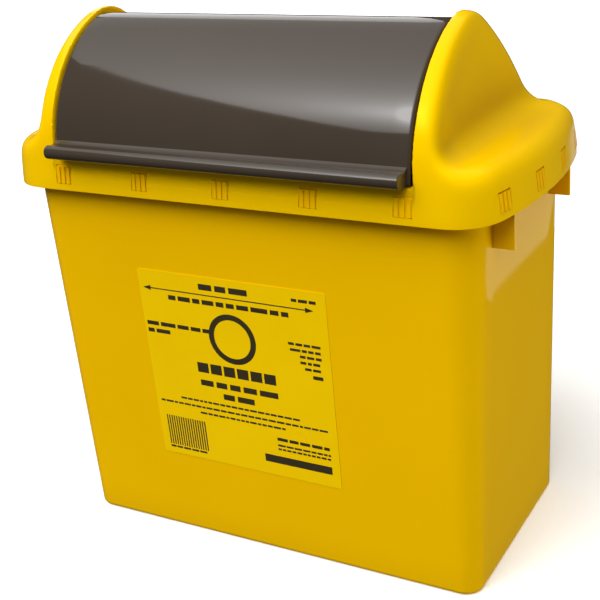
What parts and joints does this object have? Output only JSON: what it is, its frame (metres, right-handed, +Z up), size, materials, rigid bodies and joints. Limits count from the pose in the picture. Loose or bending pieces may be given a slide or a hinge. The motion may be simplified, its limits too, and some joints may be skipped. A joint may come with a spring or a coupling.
{
  "type": "sharps container",
  "caption": "Tall tapered plastic sharps bin with a clip-on lid, side grips, and a roll-back drum cover with a finger lip, pivoted between two rounded ears over a drop tray.",
  "frame": {"origin": "middle of the bin's flat base", "axes": "+X along the long side to the right ear, -Y to the front with the label and the finger lip, +Z up"},
  "size_m": [0.368, 0.196, 0.3692],
  "materials": {
    "bin_plastic": "glossy opaque yellow polypropylene, moulded",
    "lid_plastic": "satin-gloss opaque yellow polypropylene, moulded",
    "cover_plastic": "high-gloss dark brown-grey polypropylene",
    "pivot_plastic": "plain moulded acetal",
    "label_film": null
  },
  "bodies": {
    "container": {"bin_shell": "bin_plastic", "bin_collar": "bin_plastic", "left_gussets": "bin_plastic", "right_gussets": "bin_plastic", "front_teeth": "bin_plastic", "rear_teeth": "bin_plastic", "left_teeth": "bin_plastic", "right_teeth": "bin_plastic", "front_label": "label_film", "lid_frame": "lid_plastic", "left_ear": "lid_plastic", "right_ear": "lid_plastic", "rear_hood": "lid_plastic", "left_bush": "pivot_plastic", "right_bush": "pivot_plastic", "open_stops": "lid_plastic"},
    "cover": {"cover_shell": "cover_plastic", "cover_lip": "cover_plastic", "left_cheek": "cover_plastic", "right_cheek": "cover_plastic", "drop_tray": "cover_plastic", "left_pivot": "pivot_plastic", "right_pivot": "pivot_plastic"}
  },
  "joints": [
    {"name": "cover_pivot", "type": "hinge", "parent": "container", "child": "cover", "pos_m": [0, 0.002, 0.2776], "axis": [-1, 0, 0], "range_deg": [0, 75]}
  ]
}
